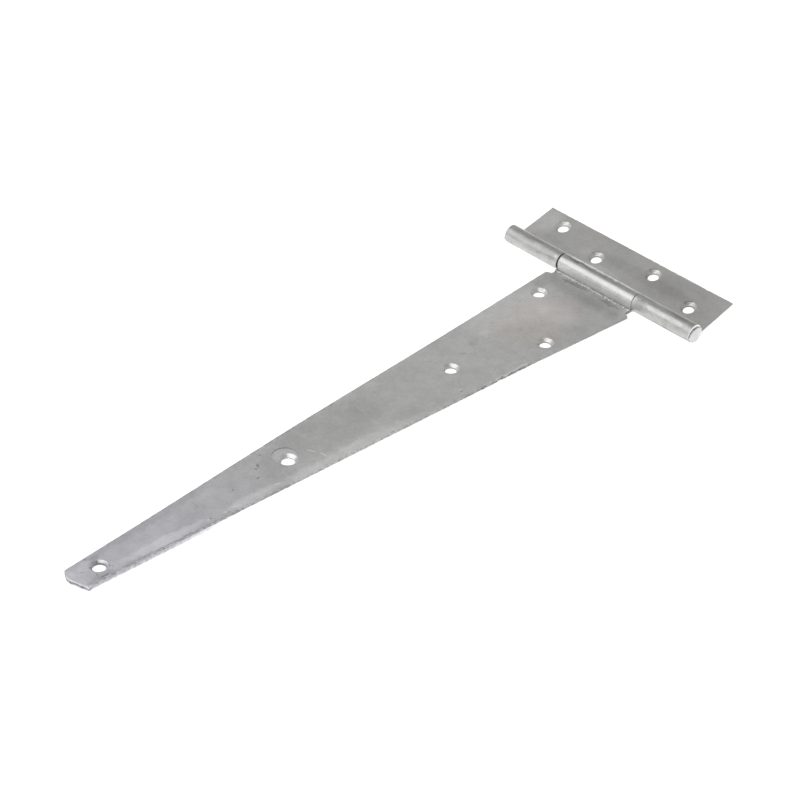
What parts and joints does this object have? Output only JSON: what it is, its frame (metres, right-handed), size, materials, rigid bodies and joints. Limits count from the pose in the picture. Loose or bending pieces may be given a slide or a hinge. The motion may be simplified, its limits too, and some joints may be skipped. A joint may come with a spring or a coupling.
{
  "type": "tee hinge",
  "caption": "Flat galvanised steel tee hinge: a long tapered strap leaf and a short cross plate, with rolled knuckles that swing on a plain pin, for hanging gates and shed doors.",
  "frame": {"origin": "on the strap's flat back, straight below the middle of the pin", "axes": "+X along the strap from the pin to the tip, +Y along the pin, +Z out of the strap's front face"},
  "size_m": [0.4909, 0.1705, 0.013],
  "materials": {
    "galvanised_sheet": "hot-dip galvanised, dull and mottled",
    "pin_steel": "zinc-coated round steel"
  },
  "bodies": {
    "strap": {"strap_leaf": "galvanised_sheet"},
    "plate": {"cross_plate": "galvanised_sheet", "hinge_pin": "pin_steel"}
  },
  "joints": [
    {"name": "plate_swing", "type": "hinge", "parent": "strap", "child": "plate", "pos_m": [0, 0, 0.0065], "axis": [0, 1, 0], "range_deg": [-106.4, 168.6]}
  ]
}
